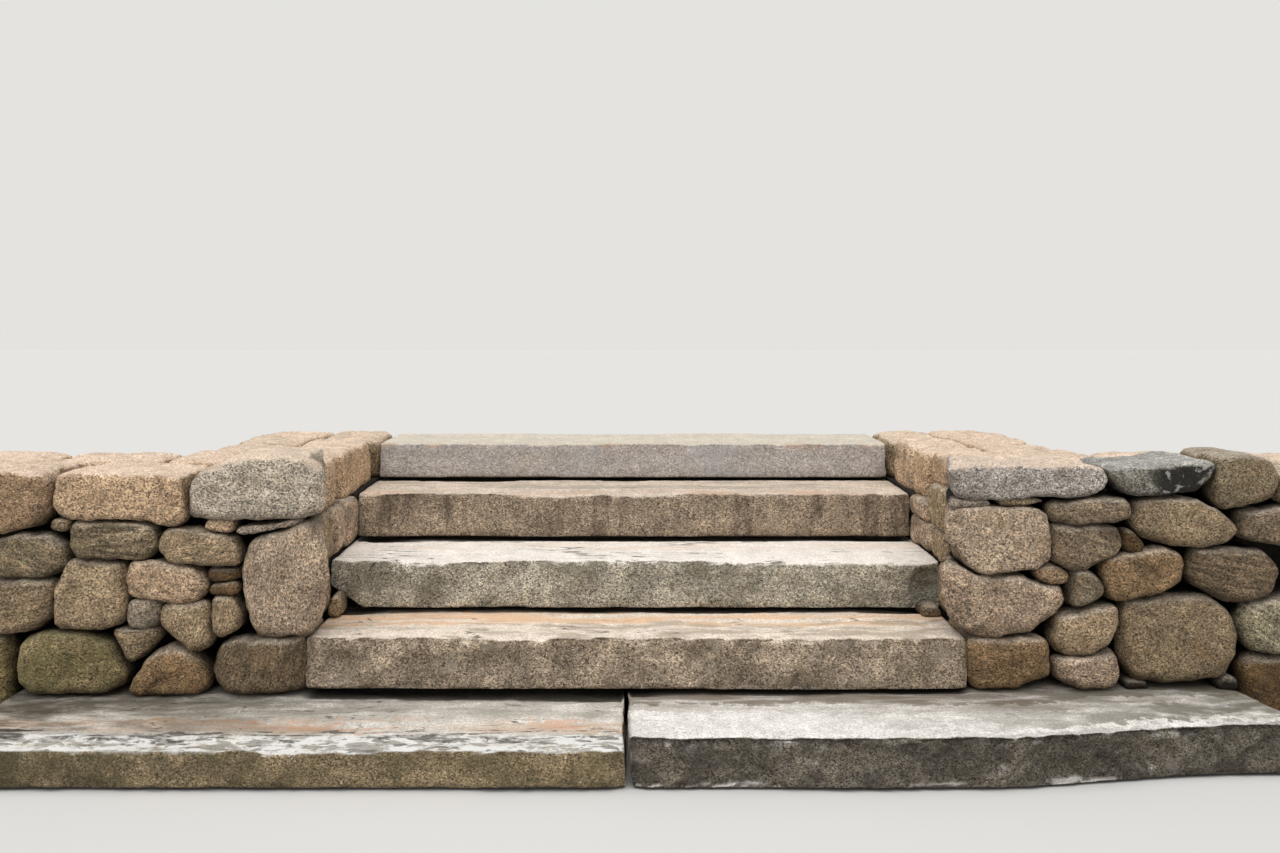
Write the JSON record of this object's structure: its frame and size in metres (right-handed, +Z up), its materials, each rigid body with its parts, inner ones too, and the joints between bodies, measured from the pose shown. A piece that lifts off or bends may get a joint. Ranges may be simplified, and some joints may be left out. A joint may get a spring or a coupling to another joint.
{
  "type": "outdoor stone steps",
  "caption": "Outdoor flight of thick granite slab steps set between dry-laid fieldstone walls that hold a bank.",
  "frame": {"origin": "on the ground under the lowest tread, halfway along the flight, in the plane of the wall faces", "axes": "+X right along the wall, +Y into the bank, +Z up"},
  "size_m": [4.812, 1.8615, 0.9026],
  "materials": {
    "granite_tread": "split granite, rough bedded faces, weathered",
    "wall_stone_warm": "tan and ochre fieldstone, weathered",
    "wall_stone_grey": "grey granite fieldstone, weathered",
    "wall_stone_brown": "brown fieldstone, weathered",
    "pinning_stone": "small split chips, dark in the joints",
    "packing": "packed rubble, hidden"
  },
  "bodies": {
    "root": {"bed_2": "packing", "bed_3": "packing", "bed_4": "packing", "bed_5": "packing", "flight_rear_stones": "wall_stone_brown", "left_corner_boulder": "wall_stone_brown", "left_corner_cap": "wall_stone_grey", "left_corner_upright": "wall_stone_grey", "left_lower_stones": "wall_stone_brown", "left_middle_stones": "wall_stone_warm", "left_pinning": "pinning_stone", "left_return_caps": "wall_stone_grey", "left_return_inner_stones": "wall_stone_warm", "left_return_outer_stones": "wall_stone_brown", "left_return_packing": "packing", "left_top_stones": "wall_stone_warm", "left_upper_stones": "wall_stone_warm", "left_wall_end_stones": "wall_stone_brown", "left_wall_packing": "packing", "left_wall_rear_caps": "wall_stone_grey", "left_wall_rear_stones": "wall_stone_brown", "right_corner_block": "wall_stone_warm", "right_corner_cap": "wall_stone_grey", "right_corner_foot": "wall_stone_brown", "right_corner_lower_block": "wall_stone_warm", "right_lower_stones": "wall_stone_warm", "right_middle_stones": "wall_stone_warm", "right_pinning": "pinning_stone", "right_return_caps": "wall_stone_grey", "right_return_inner_stones": "wall_stone_warm", "right_return_outer_stones": "wall_stone_brown", "right_return_packing": "packing", "right_top_stones": "wall_stone_warm", "right_upper_stones": "wall_stone_warm", "right_wall_end_stones": "wall_stone_brown", "right_wall_packing": "packing", "right_wall_rear_caps": "wall_stone_grey", "right_wall_rear_stones": "wall_stone_brown", "tread_1_left": "granite_tread", "tread_1_right": "granite_tread", "tread_2": "granite_tread", "tread_3": "granite_tread", "tread_4": "granite_tread", "tread_5": "granite_tread"}
  },
  "joints": []
}
